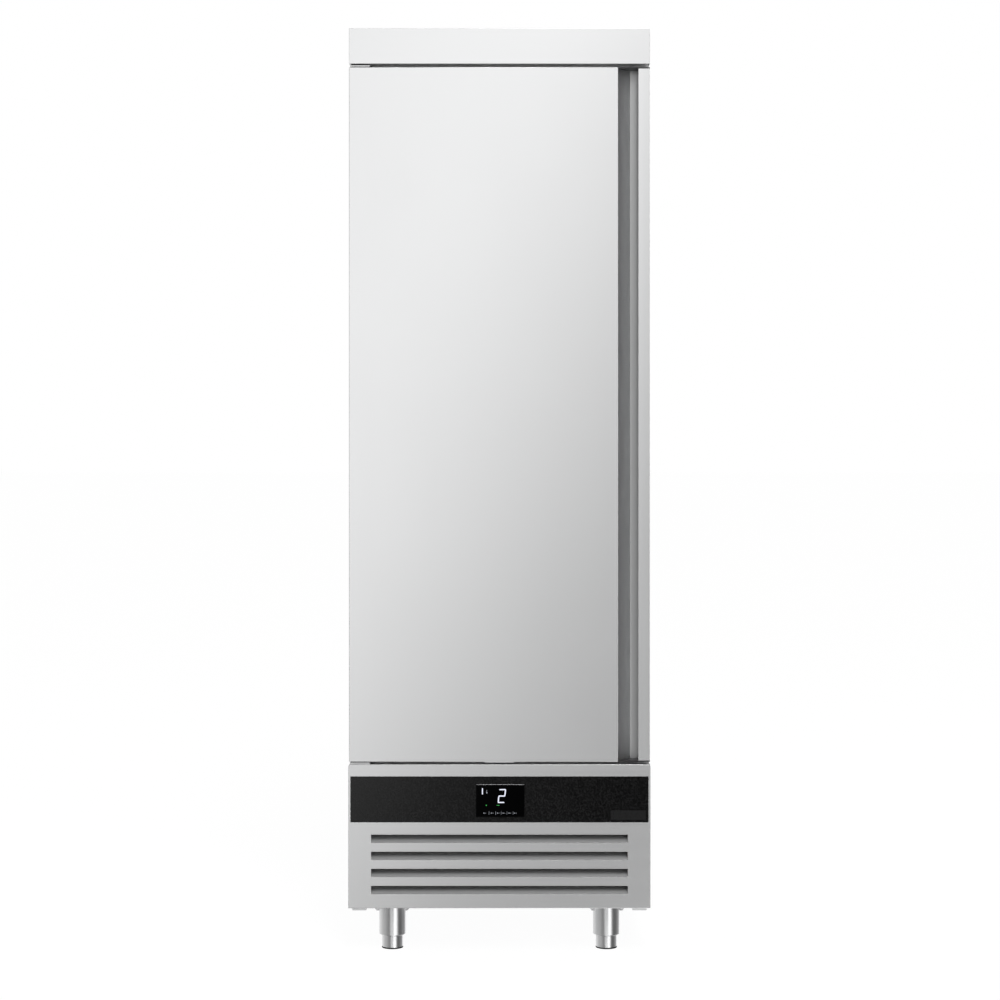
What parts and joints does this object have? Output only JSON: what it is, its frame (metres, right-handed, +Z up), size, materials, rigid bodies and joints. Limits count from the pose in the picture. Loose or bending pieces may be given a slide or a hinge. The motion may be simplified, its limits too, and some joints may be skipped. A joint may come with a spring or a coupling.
{
  "type": "refrigerated cabinet",
  "caption": "Upright stainless steel refrigerated cabinet with a full-height solid door, a recessed grip, a louvred base holding the cooling unit, and adjustable legs.",
  "frame": {"origin": "on the floor, under the middle of the cabinet", "axes": "+X to the right as seen from the front, +Y from the door to the back, +Z up"},
  "size_m": [0.683, 0.81, 2.093],
  "materials": {
    "steel_skin": "satin",
    "steel_frame": "satin",
    "steel_liner": "satin",
    "galvanised": "satin",
    "foam": "matte",
    "black_strip": "matte",
    "display": "gloss",
    "circuit": "matte",
    "hinge_steel": "satin",
    "black_plastic": "satin",
    "seal": "matte",
    "door_liner": "satin",
    "leg_steel": "satin",
    "pad_rubber": "matte",
    "shelf_steel": "satin",
    "cover_plastic": "satin",
    "fins": "satin",
    "motor": "satin",
    "fan_plastic": "satin",
    "drain": "satin",
    "probe": "satin",
    "shell_black": "satin",
    "grommet": "matte",
    "copper": "satin",
    "tray": "satin",
    "grey_box": "satin",
    "screw_steel": "polished"
  },
  "bodies": {
    "cabinet": {"side_panel_left": "steel_skin", "side_panel_right": "steel_skin", "back_panel": "galvanised", "top_panel": "steel_skin", "floor_panel": "galvanised", "foam_core": "foam", "inner_liner": "steel_liner", "front_frame": "steel_frame", "top_cap": "steel_skin", "front_crossmember": "galvanised", "machine_deck": "galvanised", "support_rails": "steel_frame", "front_panel": "steel_skin", "control_strip": "black_strip", "display_glass": "display", "display_module": "circuit", "hinge_bracket_top": "hinge_steel", "hinge_bracket_bottom": "hinge_steel", "hinge_pins": "hinge_steel", "leg_tubes": "leg_steel", "rack_posts": "steel_frame", "shelf_runners": "steel_frame", "evaporator_cover": "cover_plastic", "evaporator_coil": "fins", "evaporator_motor": "motor", "fan_guard": "black_plastic", "drain_tube": "drain", "temperature_probe": "probe", "condenser_coil": "fins", "condenser_shroud": "black_plastic", "condenser_motor": "motor", "compressor": "shell_black", "compressor_grommets": "grommet", "terminal_cover": "black_plastic", "copper_pipes": "copper", "evaporation_tray": "tray", "electrical_box": "grey_box", "rear_grille": "galvanised", "cable_gland": "black_plastic", "screws": "screw_steel"},
    "door": {"door_skin": "steel_skin", "door_foam": "foam", "door_liner": "door_liner", "door_gasket": "seal", "handle_profile": "steel_skin", "handle_end_caps": "black_plastic", "hinge_bushes": "black_plastic"},
    "shelf_lower": {"shelf_lower": "shelf_steel"},
    "shelf_middle": {"shelf_middle": "shelf_steel"},
    "shelf_upper": {"shelf_upper": "shelf_steel"},
    "evaporator_fan": {"evaporator_fan": "fan_plastic"},
    "condenser_fan": {"condenser_fan": "fan_plastic"},
    "foot_front_left": {"foot_front_left": "leg_steel", "pad_front_left": "pad_rubber"},
    "foot_front_right": {"foot_front_right": "leg_steel", "pad_front_right": "pad_rubber"},
    "foot_rear_left": {"foot_rear_left": "leg_steel", "pad_rear_left": "pad_rubber"},
    "foot_rear_right": {"foot_rear_right": "leg_steel", "pad_rear_right": "pad_rubber"}
  },
  "joints": [
    {"name": "door_hinge", "type": "hinge", "parent": "cabinet", "child": "door", "pos_m": [-0.319, -0.38, 0.436], "axis": [0, 0, -1], "range_deg": [0, 105], "stiffness_Nm_per_rad": 2, "springref_deg": -5.73},
    {"name": "evaporator_fan_spin", "type": "hinge", "parent": "cabinet", "child": "evaporator_fan", "pos_m": [0, -0.06, 1.9], "axis": [0, 0, 1], "continuous": true},
    {"name": "condenser_fan_spin", "type": "hinge", "parent": "cabinet", "child": "condenser_fan", "pos_m": [0.11, -0.238, 0.232], "axis": [0, 1, 0], "continuous": true},
    {"name": "shelf_lower_slide", "type": "slide", "parent": "cabinet", "child": "shelf_lower", "axis": [0, -1, 0], "range_m": [0, 0.015]},
    {"name": "shelf_middle_slide", "type": "slide", "parent": "cabinet", "child": "shelf_middle", "axis": [0, -1, 0], "range_m": [0, 0.015]},
    {"name": "shelf_upper_slide", "type": "slide", "parent": "cabinet", "child": "shelf_upper", "axis": [0, -1, 0], "range_m": [0, 0.015]},
    {"name": "foot_front_left_screw", "type": "slide", "parent": "cabinet", "child": "foot_front_left", "axis": [0, 0, -1], "range_m": [-0.02, 0.03]},
    {"name": "foot_front_right_screw", "type": "slide", "parent": "cabinet", "child": "foot_front_right", "axis": [0, 0, -1], "range_m": [-0.02, 0.03]},
    {"name": "foot_rear_left_screw", "type": "slide", "parent": "cabinet", "child": "foot_rear_left", "axis": [0, 0, -1], "range_m": [-0.02, 0.03]},
    {"name": "foot_rear_right_screw", "type": "slide", "parent": "cabinet", "child": "foot_rear_right", "axis": [0, 0, -1], "range_m": [-0.02, 0.03]}
  ]
}
